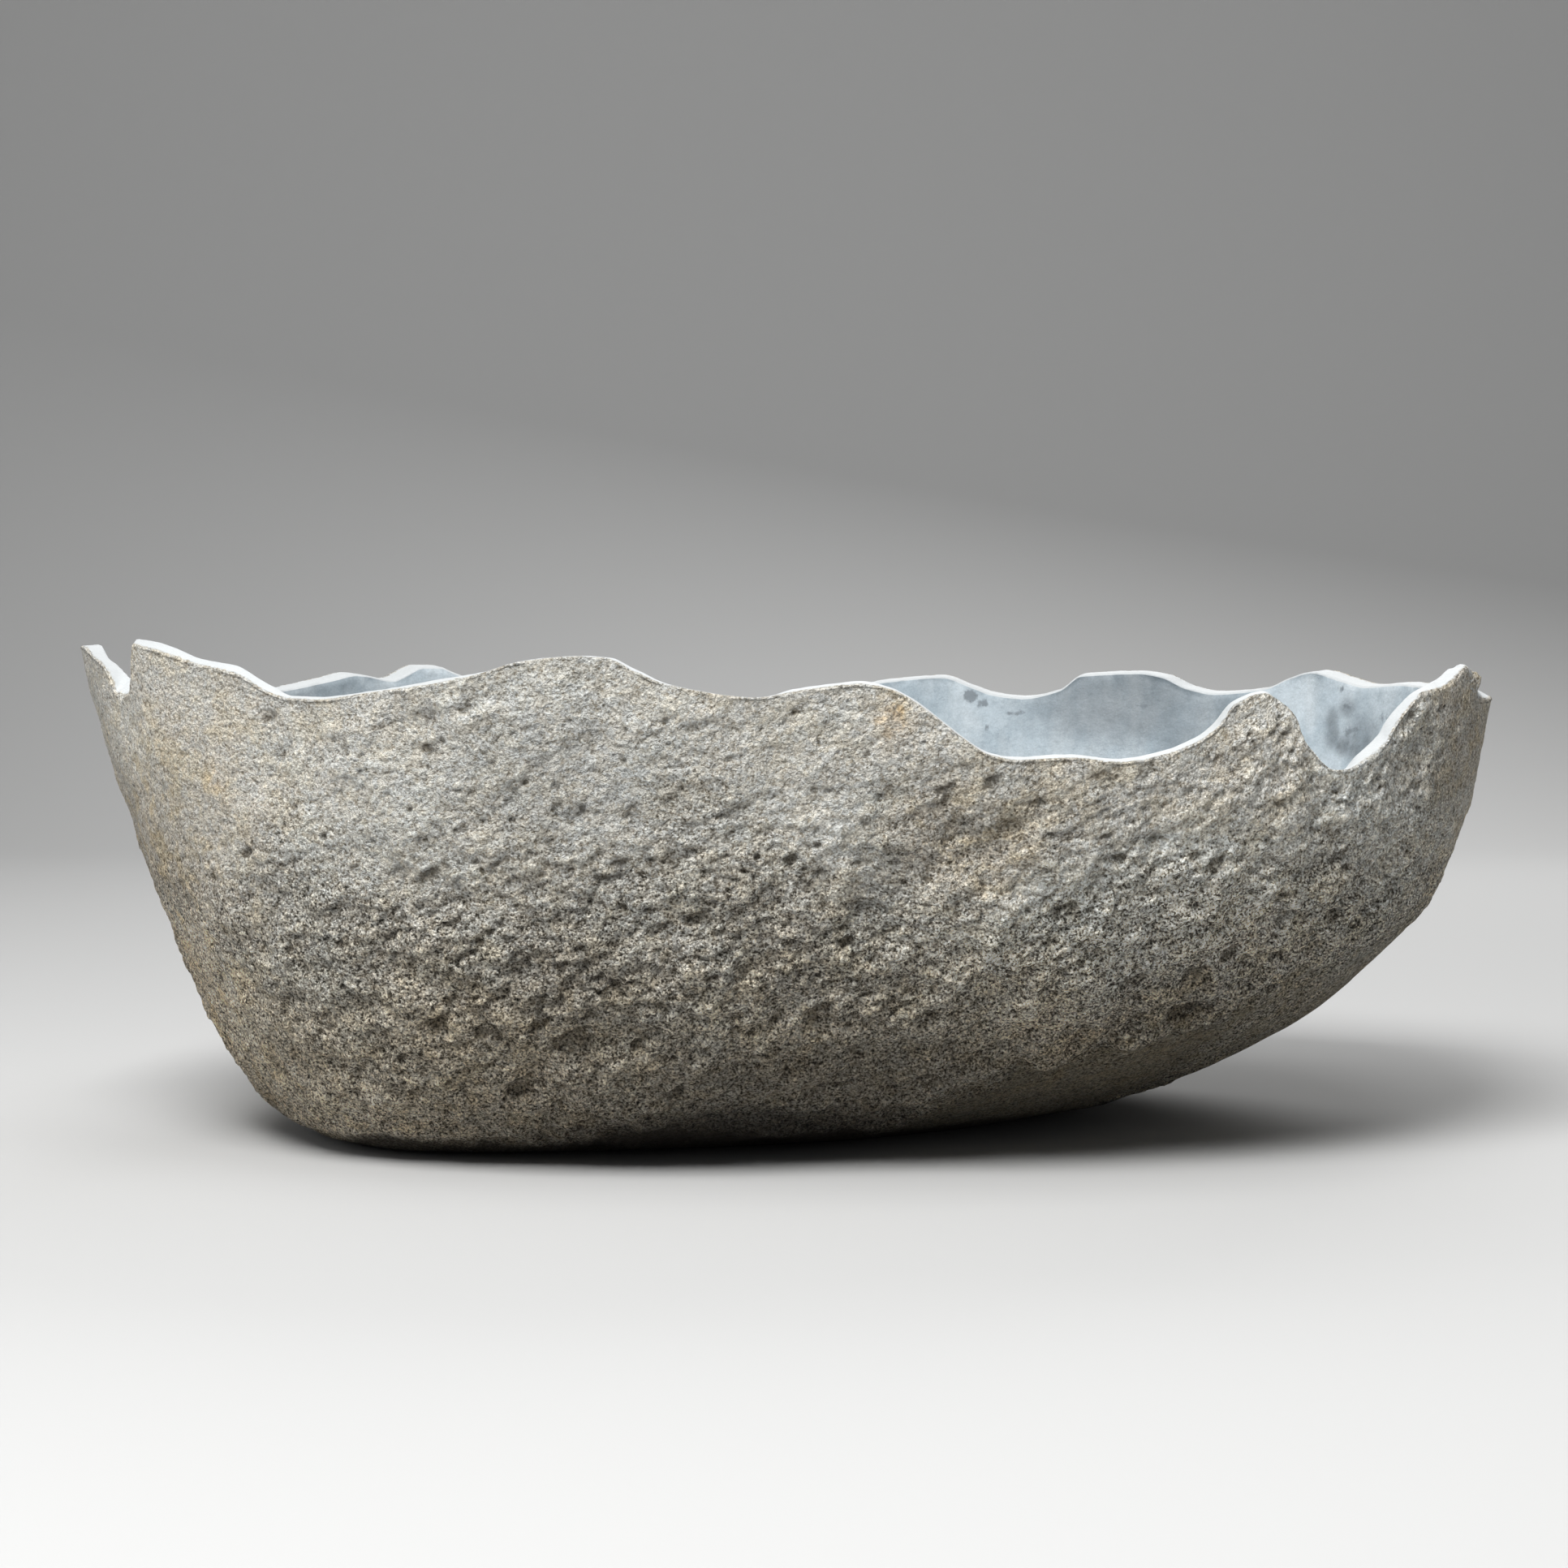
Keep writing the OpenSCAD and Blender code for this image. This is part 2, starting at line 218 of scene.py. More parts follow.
def flakes(p, size, seed):
    """Shingled flakes: each leans out towards its lower edge, which stands over the next one."""
    far, mark, rise = cells(p, size, seed)
    return -rise * (0.2 + 1.4 * mark) - 0.3 * far ** 2


# ---- level sections, as in the CAD source ----


def rim_table(count):
    """Columns with equal steps along the outer arris: angle, outer height, inner lead, inner height."""
    turn = [360, 0, 0, 0]
    table = np.vstack([RIM[-1] - turn, RIM, RIM[:2] + turn])
    run = np.diff(table[:, 0])
    rise = np.diff(table[:, 1:], axis=0) / run[:, None]
    before, after = rise[:-1], rise[1:]
    same = before * after > 0
    slope = np.where(same, 2 * before * after / np.where(same, before + after, 1), 0)
    angle = np.arange(0, 360, 0.02)  # close enough to measure the length of the arris
    i = np.searchsorted(RIM[:, 0], angle, side="right") - 1
    t = ((angle - RIM[i, 0]) / run[i + 1])[:, None]
    w = run[i + 1][:, None]
    value = ((1 + 2 * t) * (1 - t) ** 2 * table[i + 1, 1:] + t * (1 - t) ** 2 * w * slope[i]
             + t * t * (3 - 2 * t) * table[i + 2, 1:] - t * t * (1 - t) * w * slope[i + 1])
    height = BOWL_H - RIM_WAVE * value[:, 0] / 100
    line = outside(angle, height)
    along = np.linalg.norm(np.diff(np.vstack([line, line[:1]]), axis=0), axis=1)
    passed = np.concatenate([[0], np.cumsum(along)])
    want = np.linspace(0, passed[-1], count, endpoint=False)
    curves = (angle, 360), (height, height[0]), (value[:, 1], value[0, 1]), (value[:, 2], value[0, 2])
    return [np.interp(want, passed, np.append(curve, end)) for curve, end in curves]


def reach(foot, rim, side, z):
    """How far one side stands from the middle line at height z."""
    rise = np.maximum(0, 1 - z / (side[0] * BOWL_H))
    return foot + (rim - foot) * (1 - rise ** side[1]) ** (1 / side[2])


def section(u, z, inset, shrink=1.0):
    """Points at angles u of the sections at heights z, drawn in by inset and by the share shrink."""
    right = reach(FOOT_L / 2 - FOOT_SHIFT, BOWL_L / 2, RIGHT, z)
    left = reach(FOOT_L / 2 + FOOT_SHIFT, BOWL_L / 2, LEFT, z)
    back = reach(FOOT_W / 2, BOWL_W / 2, BACK, z)
    front = reach(FOOT_W / 2, BOWL_W / 2, FRONT, z)
    c, s = np.cos(np.radians(u)), np.sin(np.radians(u))
    x = ((right + left) / 2 - inset) * shrink * np.sign(c) * np.abs(c) ** (2 / SQUARENESS)
    y = ((back + front) / 2 - inset) * shrink * np.sign(s) * np.abs(s) ** (2 / SQUARENESS)
    turn = np.radians(FOOT_TURN * np.maximum(0, 1 - z / (TURN_TOP * BOWL_H)) ** TURN_FADE)
    return np.stack([(right - left) / 2 + x * np.cos(turn) - y * np.sin(turn),
                     (back - front) / 2 + x * np.sin(turn) + y * np.cos(turn),
                     z + 0 * x], -1)


def forms(u, z):
    """How far the single forms push the skin out."""
    push = 0
    for angle, height, across, up, out in FORMS:
        far = np.hypot((u - angle) / across, (100 * z / BOWL_H - height) / up)
        push = push + out * (1 - ease(np.minimum(1, far)))
    return push


def ledge_at(u, z):
    """How strong the ledge is at angle u, and how far height z lies below it."""
    below = np.interp(u, LEDGE[:, 0], LEDGE[:, 1]) * BOWL_H / 100 - z
    return np.interp(u, LEDGE[:, 0], LEDGE[:, 2]), below


def pushed(p, push):
    grow = 1 + push / np.hypot(p[..., 0], p[..., 1])
    return p * np.stack([grow, grow, np.ones_like(grow)], -1)


def outside(u, z):
    under = np.clip(FOOT_ROUND - z, 0, FOOT_ROUND)
    p = section(u, z, FOOT_ROUND - np.sqrt(FOOT_ROUND ** 2 - under ** 2))
    swells = SWELL * cad_noise(p / SWELL_SIZE)
    knocks = KNOCK * cad_noise(p / KNOCK_SIZE + [0, 0, KNOCK_SHIFT])
    strength, below = ledge_at(u, z)
    return pushed(p, swells + knocks + forms(u, z) - KEEL_STEP * strength * step(0, LEDGE_RUN, below))


def inside(u, z):
    share = step(HEEL_H, BELT, z)
    return pushed(section(u, z, mix(HEEL_T, RIM_T, share)), share * forms(u, z))


def hollow(u, dip):
    """The curve from the heel (dip 0) to the middle of the floor (dip 90)."""
    dip = np.radians(dip)
    z = HEEL_H - (HEEL_H - FLOOR_T) * np.sin(dip) ** (2 / FLOOR_SQUARENESS)
    return section(u, z, HEEL_T, np.cos(dip) ** (2 / FLOOR_SQUARENESS))


# ---- the grid: every row is a ring, and the rows close through the drain hole ----

UNDER, OUTER, CUT_RIM, INNER, FLOOR, DRAIN = range(6)  # what a row belongs to
COLUMNS, UNDER_ROWS, OUTER_ROWS, INNER_ROWS, FLOOR_ROWS = 1400, 13, 215, 50, 27
FOOT_ROWS = (0, 0.3, 1.0, 2.1, 3.6, 5.4, 7.6)  # heights in the foot's rounding
RIM_ROWS = np.array([0, 0.04, 0.1, 0.2, 0.35, 0.5, 0.65, 0.8, 0.9, 0.96, 1])  # shares of the rim's width
DRAIN_CORNER_ROWS = (0.35, 0.7, 0.93, 1)  # shares of the way from the last row of the floor to the drain
DRAIN_ROWS = (FLOOR_T - 1.2, 20, 14, 8, 3, 1.2)  # heights
LAST_DIP = 84
EDGE, EDGE_FLATNESS = 0.9, 0.9  # radius of the rim's two arrises, and how much of its drop they take
DRAIN_TOP_DROP, DRAIN_FOOT_RISE = 0.2, 0.6  # how far the ends of the drain stand in from the floor and foot

u, arris, lead, lift = rim_table(COLUMNS)
outer_top = outside(u, arris)
inner_top = inside(u + lead, arris + lift)
drain = section(np.array(0.0), np.array(FLOOR_T), HEEL_T, 0.0)
drain_ring = np.stack([drain[0] + DRAIN_D / 2 * np.cos(np.radians(u)),
                       drain[1] + DRAIN_D / 2 * np.sin(np.radians(u)), 0 * u], -1)
rows, zone = [], []


def add(points, kind):
    rows.append(points)
    zone.append(kind)


foot_ring = outside(u, 0 * u)
for t in np.linspace(0, 1, UNDER_ROWS + 1)[:-1]:
    add(mix(drain_ring + [0, 0, DRAIN_FOOT_RISE if t == 0 else 0], foot_ring, t), UNDER)
for z in FOOT_ROWS:
    add(outside(u, z + 0 * u), OUTER)
for s in np.linspace(0, 1, OUTER_ROWS):
    add(outside(u, mix(FOOT_ROUND, arris - EDGE, s ** 1.15)), OUTER)
across = inner_top - outer_top
width = np.linalg.norm(across, axis=1)
for t in RIM_ROWS:
    near = np.minimum(t, 1 - t) * width
    drop = EDGE - np.sqrt(np.maximum(0, EDGE ** 2 - np.maximum(0, EDGE - near) ** 2))
    add(outer_top + across * t - [0, 0, EDGE_FLATNESS] * drop[:, None], CUT_RIM)
for s in np.linspace(0, 1, INNER_ROWS):
    z = mix(arris + lift - EDGE, HEEL_H, s ** 0.92)
    add(inside(u + lead * np.clip((z - BELT) / (arris + lift - BELT), 0, 1), z), INNER)
for dip in np.linspace(0, LAST_DIP, FLOOR_ROWS + 1)[1:]:
    add(hollow(u, dip), FLOOR)
last = rows[-1]
for t in DRAIN_CORNER_ROWS:
    add(mix(last, drain_ring + [0, 0, FLOOR_T - DRAIN_TOP_DROP], t), FLOOR)
for z in DRAIN_ROWS:
    add(drain_ring + [0, 0, z], DRAIN)

grid = np.array(rows) - MIDDLE
zone = np.array(zone)
ROWS = len(grid)
is_outer, is_rim, is_under = zone == OUTER, zone == CUT_RIM, zone == UNDER


def normals_of(g):
    """Outward normals: the columns run anticlockwise, and the rows run up the outside."""
    along = np.roll(g, -1, 1) - np.roll(g, 1, 1)
    onwards = np.roll(g, -1, 0) - np.roll(g, 1, 0)
    n = np.cross(along, onwards)
    return n / np.maximum(np.linalg.norm(n, axis=2), 1e-9)[..., None]


def part(kind, fn):
    """Values of fn at the points of the rows of one kind, as rows of columns."""
    g = grid[zone == kind]
    return fn(g.reshape(-1, 3)).reshape(g.shape[:2])


# ---- relief of the rough skin ----

GRAIN_TILT = math.radians(22)  # the stone's bedding rises to the right
TILT_COS, TILT_SIN = math.cos(GRAIN_TILT), math.sin(GRAIN_TILT)


def bedding(p, stretch):
    """Points squeezed along the bedding, so that what is drawn on them comes out stretch times longer."""
    run = p[:, 0] * TILT_COS + p[:, 2] * TILT_SIN
    rise = -p[:, 0] * TILT_SIN + p[:, 2] * TILT_COS
    return np.stack([run / stretch, p[:, 1] / math.sqrt(stretch), rise], 1)


def offset_from(p, wall, angle, height):
    """From the point of a wall at this angle and height to points p of the grid."""
    return p - wall(angle, height) + MIDDLE


# Single pits: angle, height, radius, depth
PITS = [
    (229.1, 148, 5.0, 1.0), (220.4, 114, 5.5, 1.1), (226.1, 134, 3.4, 0.8), (228.7, 161, 5.0, 1.0),
    (242.7, 109, 4.5, 1.2), (262.6, 148, 2.6, 0.9), (265.3, 110, 2.2, 1.8), (265.9, 108, 1.9, 1.4),
    (268.4, 114, 3.0, 1.1), (270.0, 85, 4.0, 1.6), (260.8, 93, 3.0, 1.3), (271.0, 137, 2.5, 1.0),
]
# Scars where flakes broke off, each deepest just under its upper edge: angle, height, half width, depth
SCARS = [
    (197.3, 35, 2.2, 0.9), (204.6, 83, 1.9, 0.8), (206.6, 109, 1.9, 0.7), (218.9, 80, 3, 1),
    (220.3, 114, 2.7, 0.9), (223.3, 29, 2.4, 1), (225.1, 42, 2.4, 1), (225.7, 147, 1.9, 0.6),
    (227.5, 84, 3, 1), (228, 160, 2.2, 0.7), (229.7, 131, 2.2, 0.8), (232.6, 56, 4.6, 1.6),
    (233.2, 86, 2.4, 0.9), (233.3, 110, 2.4, 0.8), (235.9, 64, 3, 1.4), (237.3, 54, 3.2, 1.4),
    (237.7, 53, 6.2, 1.8), (240.7, 108, 5.4, 1.2), (240.9, 92, 3.5, 1.2), (243.6, 113, 3.2, 1),
    (243.9, 57, 3.5, 1.6), (245.2, 152, 3, 0.8), (245.6, 51, 6.8, 2.2), (245.8, 124, 3.2, 0.8),
    (246.8, 137, 1.9, 0.7), (247.2, 112, 2.4, 1), (251.4, 74, 1.9, 1.2), (251.7, 92, 2.4, 1.1),
    (251.9, 49, 2.7, 1.6), (254.2, 132, 2.7, 0.9), (255.1, 108, 1.9, 1), (256.1, 99, 1.6, 1),
    (257.1, 113, 3.5, 1), (258.3, 92, 2.4, 1), (259.3, 131, 3.2, 0.8), (260.3, 74, 2.7, 1.1),
    (260.8, 54, 2.4, 1.3), (260.8, 94, 4.3, 1.4), (262.1, 89, 2.7, 0.9), (263.8, 70, 1.9, 1),
    (266.5, 85, 2.2, 1.1), (266.8, 75, 2.4, 1.2), (267.2, 60, 5.4, 1.9), (268.4, 114, 3, 1.2),
    (269.9, 86, 3, 1.4), (277, 64, 1.1, 1.2), (277.9, 138, 4.1, 1.2), (281.1, 141, 3.5, 1),
    (283, 68, 1.6, 1.1), (284, 133, 2.7, 0.9), (284.3, 79, 2.2, 1.2), (285, 96, 4.6, 1.6),
    (286, 83, 1.9, 1.2), (289.3, 122, 1.9, 1.2), (289.8, 143, 6.2, 1), (290.2, 114, 2.4, 1.2),
    (291.7, 69, 4.6, 1.6), (292.8, 145, 4.1, 1), (294.2, 54, 2.7, 1.6), (294.9, 107, 1.9, 1),
    (296, 86, 1.6, 1.2), (296.7, 114, 2.4, 1.2), (298, 71, 4.3, 1.6), (298.8, 112, 3.5, 1.4),
    (299.8, 57, 7, 2.4), (301.4, 77, 3.8, 1.4), (305.3, 132, 2.4, 1), (312.5, 112, 3.2, 1.2),
    (237.4, 33, 6, 1.8), (254.2, 30, 3.5, 1.4), (222.7, 32, 2.4, 1),
]
SCAR_STRETCH, PIT_SQUEEZE = 1.25, 1.35  # scars are longer along the bedding, pits are less tall than wide
RELIEF_LIMIT, RELIEF_SHIFT = 3.2, 0.2
# Angles over which the skin changes towards the right end, where they run on past 360: each pair is one
# slope, and two pairs are the slopes on both sides of a stretch
LEDGE_FADE = 318, 334  # the ledge dies away
SHELF = (312, 326), (375, 410)  # the keel goes on without it
RIGHT_KEEL = (303, 314), (380, 400)  # a rougher stretch of the keel
ROUGH_STRIP = (296, 308), (322, 334)  # rougher stone beside the keel
CALM_END = (325, 343), (370, 385)
# How far below the ledge the skin turns smooth: angles, and mm
SMOOTH_SHIFT = [300, 303.5, 306, 310, 315, 320, 334, 346, 400], [3, 20, 24, 15, 3, -4, -8, 0, 34]


def scar_relief(p):
    relief = np.zeros(len(p))
    ragged = 0.9 * noise(p, 4.5, 73)
    for angle, height, half, depth in SCARS:
        off = offset_from(p, outside, angle, height)
        near = np.abs(off).max(1) < 3 * half + 4
        along = outside(angle + 1, height) - outside(angle - 1, height)
        run = off[near, :2] @ along[:2] / np.hypot(*along[:2])
        rise = off[near, 2]
        a = np.abs((run * TILT_COS + rise * TILT_SIN) / (SCAR_STRETCH * half))
        b = (rise * TILT_COS - run * TILT_SIN + ragged[near]) / half
        fall = step(0.32, 0.08, b) * step(-1.6, -0.1, b) * (1 - step(0.35, 1.15, a))
        relief[near] = np.minimum(relief[near], -depth * fall)
        relief[near] += 0.25 * depth * np.exp(-((b - 0.75) / 0.4) ** 2) * (1 - step(0.3, 1.3, a))
    return relief


def pit_relief(p, relief):
    for angle, height, radius, depth in PITS:
        off = offset_from(p, outside, angle, height) * [1, 1, PIT_SQUEEZE]
        relief = relief - depth * (1 - step(0.1, 1.0, np.linalg.norm(off, axis=1) / radius))
    return relief


def grain_relief(p):
    """Relief of the stone's grain, in mm, where it is of middling roughness."""
    warp = np.stack([noise(p, 15, 31 + n) for n in range(3)] + [noise(p, 5, 34 + n) for n in range(3)], 1)
    warp = 2.4 * warp[:, :3] + 1.0 * warp[:, 3:]
    q = bedding(p, 1.25) + warp

    # Swells, lumps and shallow hollows
    relief = 1.25 * noise(q, 15, 5) + 0.6 * noise(q, 8, 15) + 0.45 * noise(bedding(p, 1.15), 5.2, 12)
    far, mark, _ = cells(q, 10.5, 19)
    relief += 1.3 * (0.35 - far ** 2) * (0.2 + mark)
    far, mark, _ = cells(q, 12.5, 6)
    relief -= 1.7 * (1 - step(0.05, 0.62, far)) * np.clip(mark * 1.8 - 0.7, 0, 1)

    # Flakes in three sizes
    relief += 0.50 * flakes(q, 14, 21) + 0.42 * flakes(bedding(p, 1.25) + 0.7 * warp, 6.5, 7)
    relief += 0.45 * flakes(bedding(p, 1.1) + 0.3 * warp, 3.4, 20)

    # Crumbs and small holes
    far, mark, _ = cells(p, 2.5, 16)
    relief += 0.65 * (0.4 - far ** 2) * (0.4 + mark)
    far, mark, _ = cells(p, 9.0, 14)
    relief -= 1.5 * (1 - step(0.02, 0.22, far)) * (mark > 0.62)
    return relief


def skin_relief(p, column):
    """Relief of the skin in mm, the share of the keel's smooth colour, and how deep in a scar."""
    x, z = p[:, 0], p[:, 2]
    column = np.where(column < 90, column + 360, column)  # the right end runs on past 360 degrees

    # The smooth keel: where it starts below the ledge, and how much of it there is
    ledge, below = ledge_at(column, z)
    ledge = ledge * (1 - step(*LEDGE_FADE, column))
    strength = np.maximum(ledge, window(*SHELF, column))
    below = below + 6 * noise(p, 19, 71) + 2.5 * noise(p, 7, 72) - np.interp(column, *SMOOTH_SHIFT)
    right = window(*RIGHT_KEEL, column)
    keel = step(-5 - 8 * right, 8 + 14 * right, below) * strength
    lip = np.exp(-((below + 2.5) / 3.2) ** 2) * ledge

    # How rough the stone is: most low down and over the ledge, least at the left end and on the keel
    rough = 0.95 + 0.85 * step(150, 60, z) + 0.28 * noise(p, 70, 3)
    rough += 0.6 * ledge * np.exp(-((below + 15) / 18) ** 2)
    rough += window(*ROUGH_STRIP, column, 0.6)
    rough *= 1 - 0.62 * step(-120, -225, x) - window(*CALM_END, column, 0.62)
    rough_keel = 0.11 + 0.22 * right * (1 - step(*ROUGH_STRIP[1], column))
    rough *= mix(1, rough_keel, keel) * mix(0.35, 1, step(3, 16, z))

    scars = scar_relief(p)
    relief = pit_relief(p, rough * grain_relief(p) + 0.6 * lip - 0.7 * keel + scars)
    relief = RELIEF_LIMIT * np.tanh((relief - RELIEF_SHIFT) / RELIEF_LIMIT)
    return relief, step(-18, 12, below) * strength * (1 - 0.5 * right), -np.minimum(scars, 0)


def blurred(values, radius):
    """values averaged over a square of grid points, round the ring and up to the first and last row."""
    side = 2 * radius + 1
    for axis, mode in enumerate(("edge", "wrap")):
        margins = [(radius, radius) if n == axis else (0, 0) for n in range(2)]
        sums = np.cumsum(np.insert(np.pad(values, margins, mode=mode), 0, 0, axis), axis)
        count = values.shape[axis]
        values = (np.take(sums, range(side, side + count), axis) - np.take(sums, range(count), axis)) / side
    return values


normals = normals_of(grid)
push, recess_shade, keel = np.zeros((3, ROWS, COLUMNS))
outer_wall = grid[is_outer]
wall_z = outer_wall[..., 2]
below_rim = arris - wall_z
relief, slick, scarred = (value.reshape(wall_z.shape) for value in skin_relief(
    outer_wall.reshape(-1, 3), np.broadcast_to(u, wall_z.shape).ravel()))
# How far a point lies under its surroundings, near and wide, and how deep in a scar: painted shade for the
# hollows
deep = (blurred(relief, 7) - relief) / 3.0 + (blurred(relief, 2) - relief) / 0.8 + 0.75 * scarred
push[is_outer] = relief * (mix(0.28, 1, step(0.5, 9, below_rim)) * step(-0.01, 4, wall_z))
recess_shade[is_outer] = deep * mix(0.4, 1, step(0.5, 6, below_rim))
keel[is_outer] = slick

# The rim is cut smooth, and rough only where the stone broke away at both ends. At the right end a lump of
# rough stone is left standing on the cut.
BROKEN_RIGHT, BROKEN_LEFT = ((333.5, 336), (347, 351)), ((201, 203), (208, 211))
STUB_ALONG, STUB_ACROSS, STUB_HEIGHT = ((333.8, 335.8), (336.3, 340.5)), ((0.0, 0.45), (0.55, 1.0)), 4.6
broken = window(*BROKEN_RIGHT, u) + window(*BROKEN_LEFT, u)
share = RIM_ROWS[:, None]
stub = window(*STUB_ACROSS, share, window(*STUB_ALONG, u))
chip = part(CUT_RIM, lambda p: 0.16 * noise(p, 9, 21) + 0.10 * noise(p, 3.5, 22))
chip = chip + part(CUT_RIM, lambda p: layers(p, 7, 23, 2)) * 0.55 * broken
chip = chip + STUB_HEIGHT * stub * (1 + part(CUT_RIM, lambda p: 0.5 * noise(p, 4, 25)))
edge_relief = push[is_outer][-1]
nick = part(CUT_RIM, lambda p: -0.8 * np.clip(noise(p, 5.5, 24) - 0.35, 0, 1) * 2)
push[is_rim] = chip + nick * (1 - step(0.05, 0.4, share)) + edge_relief * (1 - step(0, 0.2, share)) * 0.3

for kind in (INNER, FLOOR):
    push[zone == kind] = part(kind, lambda p: 0.32 * noise(p, 38, 41) + 0.10 * noise(p * [1, 1, 0.4], 11, 42)
                              + 0.035 * noise(p, 3.6, 43))
push[is_under] = part(UNDER, lambda p: 0.18 * np.clip(noise(p, 9, 51), 0, 1)
                      + 0.12 * np.clip(noise(p, 3, 52), 0, 1))
push[is_under] *= step(0, 3, np.arange(UNDER_ROWS))[:, None]
normals[is_under] = [0, 0, 1]
push[zone == DRAIN] = part(DRAIN, lambda p: 0.12 * noise(p, 6, 61))

grid = grid + normals * push[..., None]
grid[..., 2] = np.maximum(grid[..., 2], 0)

# ---- mesh ----

# Each face runs along the ring first and then on to the next ring, so it looks outwards
index = np.arange(ROWS * COLUMNS).reshape(ROWS, COLUMNS)
beside = np.roll(index, -1, 1)
above = np.roll(index, -1, 0)
quads = np.stack([index, beside, np.roll(above, -1, 1), above], -1).reshape(-1, 4)

mesh = bpy.data.meshes.new("boulder_bowl")
mesh.vertices.add(ROWS * COLUMNS)
mesh.vertices.foreach_set("co", (grid.reshape(-1, 3) / 1000).astype(np.float32).ravel())
mesh.loops.add(quads.size)
mesh.loops.foreach_set("vertex_index", quads.astype(np.int32).ravel())
mesh.polygons.add(len(quads))
mesh.polygons.foreach_set("loop_start", np.arange(0, quads.size, 4, dtype=np.int32))
mesh.update(calc_edges=True)
mesh.validate()
mesh.polygons.foreach_set("use_smooth", np.ones(len(quads), bool))
bowl = bpy.data.objects.new("boulder_bowl", mesh)
bpy.context.scene.collection.objects.link(bowl)

# The bake's map: two halves of the ring, with the rows spread by how much they show
SHOWN = [0.35, 1.3, 2.6, 1.0, 0.5, 0.5]  # one for each kind of row
MARGIN = 0.004
HALF = COLUMNS // 2
gap = np.linalg.norm(np.roll(grid, -1, 0) - grid, axis=2).mean(1) * np.choose(zone, SHOWN)
v_row = np.concatenate([[0], np.cumsum(gap)])
v_row /= v_row[-1]
r, c = np.divmod(np.arange(ROWS * COLUMNS), COLUMNS)
half, c = np.divmod(c, HALF)
u0, u1, v0, v1 = c / HALF, (c + 1) / HALF, v_row[r], v_row[r + 1]
around = np.stack([u0, u1, u1, u0], 1) * (1 - 2 * MARGIN) + MARGIN
upwards = np.stack([v0, v0, v1, v1], 1) * (0.5 - 2 * MARGIN) + MARGIN + half[:, None] * 0.5
flat = np.stack([around, upwards], -1).astype(np.float32)
mesh.uv_layers.new(name="OFBake").uv.foreach_set("vector", flat.ravel())

# ---- masks for the material ----


def attribute(name, values):
    made = mesh.attributes.new(name, "FLOAT", "POINT")
    made.data.foreach_set("value", np.broadcast_to(values, (ROWS, COLUMNS)).astype(np.float32).ravel())


def spots(table, wall=outside):
    """Largest share of any of these spots on a wall: angle, height, half length, half height, strength."""
    most = np.zeros((ROWS, COLUMNS))
    for angle, height, along, tall, strength in table:
        off = offset_from(grid, wall, angle, height) / [along, along, tall]
        most = np.maximum(most, strength * (1 - step(0.35, 1.25, np.linalg.norm(off, axis=2))))
    return most


cut = (zone >= CUT_RIM).astype(float)
cut[np.flatnonzero(is_rim)[:4]] = 0.0, 0.1, 0.35, 0.7  # the skin's colour comes a little over the arris
cut = np.repeat(cut[:, None], COLUMNS, 1)
cut[is_rim] -= 0.8 * stub
attribute("cut", cut)
attribute("ground", (zone >= INNER)[:, None])
attribute("recess_shade", recess_shade)
attribute("keel", keel)

x, y, z = np.moveaxis(grid, -1, 0)
right_end = step(20, 160, x)
attribute("contrast", 1 + 0.25 * right_end)

wide = noise(grid.reshape(-1, 3), 95, 81).reshape(ROWS, COLUMNS)
patch = layers(grid.reshape(-1, 3), 48, 82, 3).reshape(ROWS, COLUMNS)
attribute("tone_and_height_shade", np.clip(step(18, 165, z + 10 * wide + 9 * patch) + 0.10 * patch, 0, 1))
warm = 0.26 + 0.22 * wide + 0.5 * step(-150, -255, x) * step(180, 110, z) + 0.35 * step(212, 262, x)
warm += 0.05 * step(105, 30, z) + spots([
    (278.1, 118, 30, 24, 0.42), (275.0, 160, 9, 12, 0.5), (219.7, 138, 7, 6, 0.4),
])
warm -= spots([(293, 100, 44, 44, 0.28), (318, 140, 30, 40, 0.1)])
attribute("warm", np.clip(warm, 0, 1))
# Painted light and shade: soft spots that lighten or darken the skin, painted shade on the inner walls around
# a ring of dark marks, and a little painted light on the right end of the skin
painted_light_spots = spots([
    (192, 55, 54, 46, 0.64), (205, 20, 60, 26, 0.5), (204, 128, 30, 60, 0.22), (224, 46, 75, 26, 0.3),
    (245, 38, 46, 20, 0.26), (281, 90, 66, 34, 0.5), (284, 63, 40, 20, 0.3), (271, 114, 34, 22, 0.25),
    (235, 118, 30, 20, 0.06), (322, 135, 40, 50, 0.18), (308, 152, 26, 22, 0.3), (298, 102, 50, 38, 0.36),
    (263, 54, 40, 18, 0.2),
])
painted_shade_spots = spots([
    (335, 150, 40, 30, 0.2), (262, 10, 74, 20, 0.76), (267, 31, 90, 20, 0.32), (285, 132, 26, 16, 0.12),
    (352, 105, 26, 60, 0.36), (299, 62, 50, 18, 0.15), (255, 140, 55, 26, 0.19), (240, 115, 34, 20, 0.14),
    (249, 78, 34, 26, 0.17),
])
inner_shade_and_marks = spots([
    (58.8, 160, 50, 23, 0.46), (49, 150, 36, 22, 0.36), (24, 148, 14, 11, 0.34), (200, 120, 60, 30, 0.2),
    (140, 158, 45, 22, 0.3), (275, 110, 50, 30, 0.2), (27.5, 159, 6, 5, 0.4), (30, 153.5, 5, 7, 0.42),
    (29.5, 147.5, 5, 7, 0.48), (27.3, 143.5, 6.5, 5.5, 0.48), (24.9, 142, 6.5, 5, 0.48),
    (22.8, 145, 6, 6, 0.44),
], inside)
painted_light_right = 0.13 * right_end * is_outer[:, None]
attribute("shade", (1 + painted_light_spots + painted_light_right) * (1 - painted_shade_spots) * (1 - inner_shade_and_marks))
